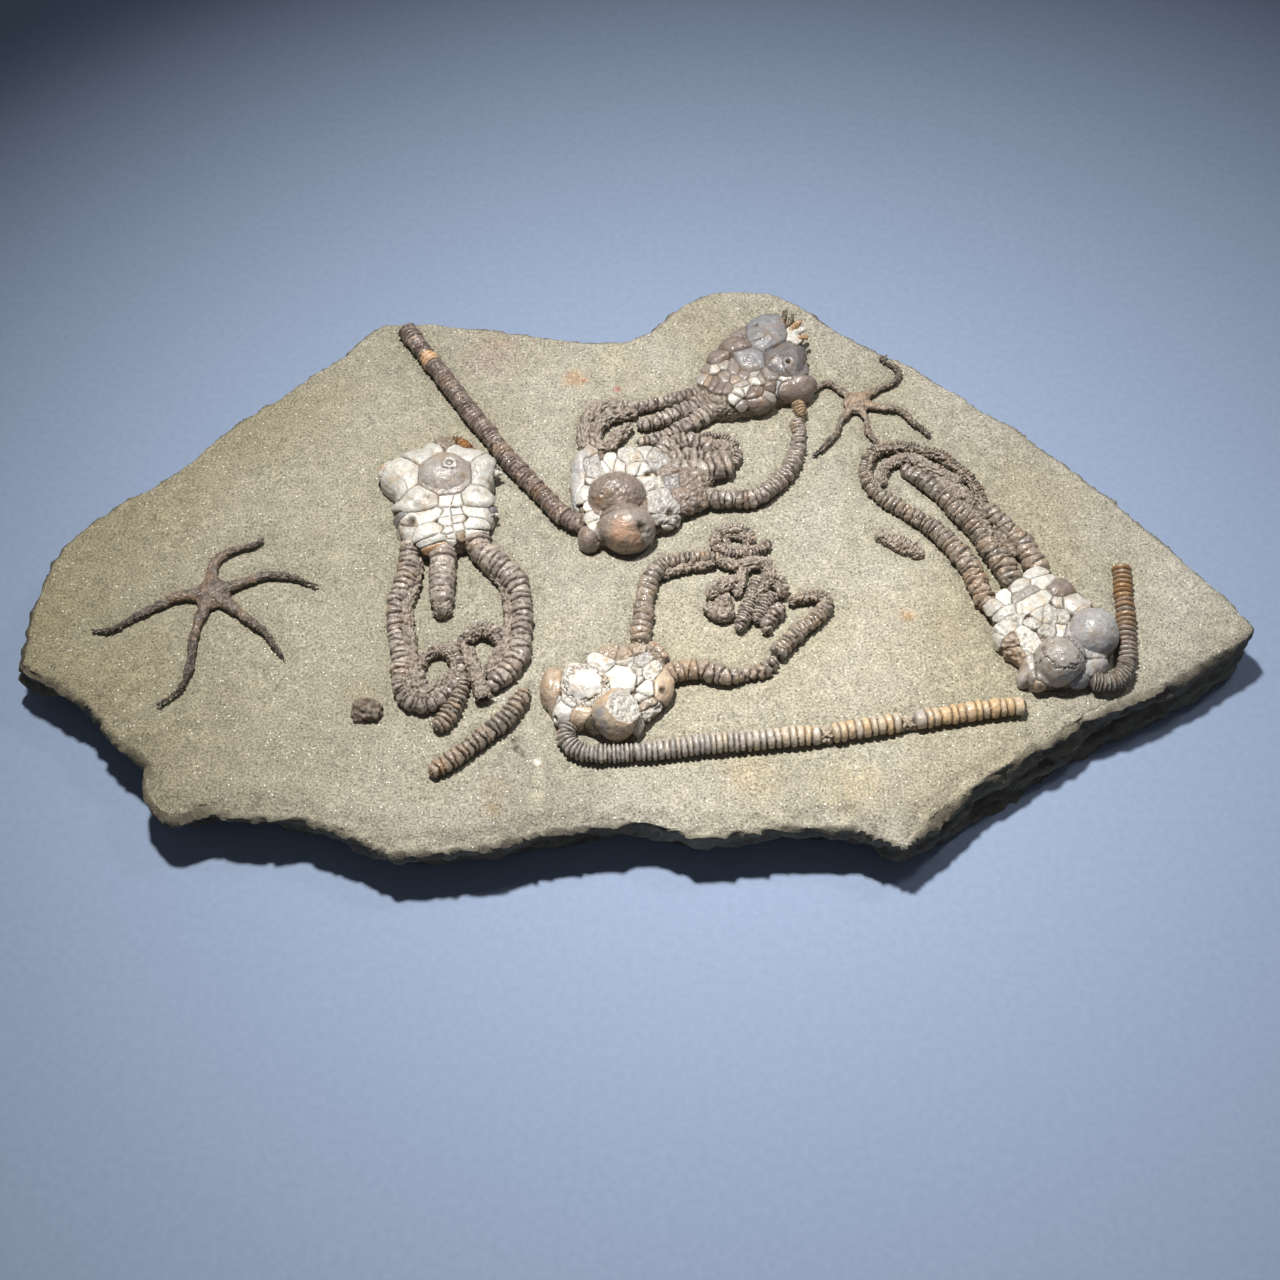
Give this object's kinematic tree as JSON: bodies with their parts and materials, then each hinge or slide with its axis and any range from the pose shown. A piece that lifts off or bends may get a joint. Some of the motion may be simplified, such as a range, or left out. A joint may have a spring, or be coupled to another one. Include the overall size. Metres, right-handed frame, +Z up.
{
  "type": "crinoid fossil",
  "caption": "Flat siltstone slab with fossil crinoids and brittle stars standing out in relief: plated cups, ringed stems and long curled arms.",
  "frame": {"origin": "middle of the slab's footprint, on the flat underside it rests on", "axes": "+X along the slab's length, to the end that is full thickness; +Y to its far edge; +Z up, out of the face with the fossils"},
  "size_m": [0.415, 0.24, 0.0358],
  "materials": {
    "siltstone": "rough, fine-grained, khaki-grey",
    "dark_calcite": "semi-gloss taupe brown",
    "tan_calcite": "semi-gloss tan to ochre",
    "pale_calcite": "semi-gloss ivory",
    "grey_calcite": "semi-gloss grey-mauve",
    "brown_calcite": "semi-gloss brown",
    "crust": "dull, dark, crusted"
  },
  "bodies": {
    "root": {"slab": "siltstone", "brittle_star_1": "dark_calcite", "brittle_star_2": "dark_calcite", "crinoid_a_arm_1": "dark_calcite", "crinoid_a_arm_2": "dark_calcite", "crinoid_a_arm_3": "dark_calcite", "crinoid_a_arm_4": "dark_calcite", "crinoid_a_arm_5": "dark_calcite", "crinoid_a_cup": "pale_calcite", "crinoid_a_stem": "tan_calcite", "crinoid_b_arm_1": "dark_calcite", "crinoid_b_arm_2": "dark_calcite", "crinoid_b_arm_3": "dark_calcite", "crinoid_b_coil": "dark_calcite", "crinoid_b_cup": "grey_calcite", "crinoid_b_stem": "tan_calcite", "crinoid_c_arm_1": "dark_calcite", "crinoid_c_arm_2": "dark_calcite", "crinoid_c_arm_3": "dark_calcite", "crinoid_c_arm_4": "dark_calcite", "crinoid_c_cup": "brown_calcite", "crinoid_c_stem": "dark_calcite", "crinoid_d_arm_1": "dark_calcite", "crinoid_d_arm_2": "dark_calcite", "crinoid_d_coil": "dark_calcite", "crinoid_d_cup": "pale_calcite", "crinoid_d_stem": "tan_calcite", "crinoid_d_tangle": "dark_calcite", "crinoid_e_arm_1": "dark_calcite", "crinoid_e_arm_2": "dark_calcite", "crinoid_e_arm_3": "dark_calcite", "crinoid_e_arm_4": "dark_calcite", "crinoid_e_cup": "grey_calcite", "crinoid_e_stem": "tan_calcite", "crusted_lump": "crust", "loose_arm": "dark_calcite", "small_arm_piece": "dark_calcite"}
  },
  "joints": []
}
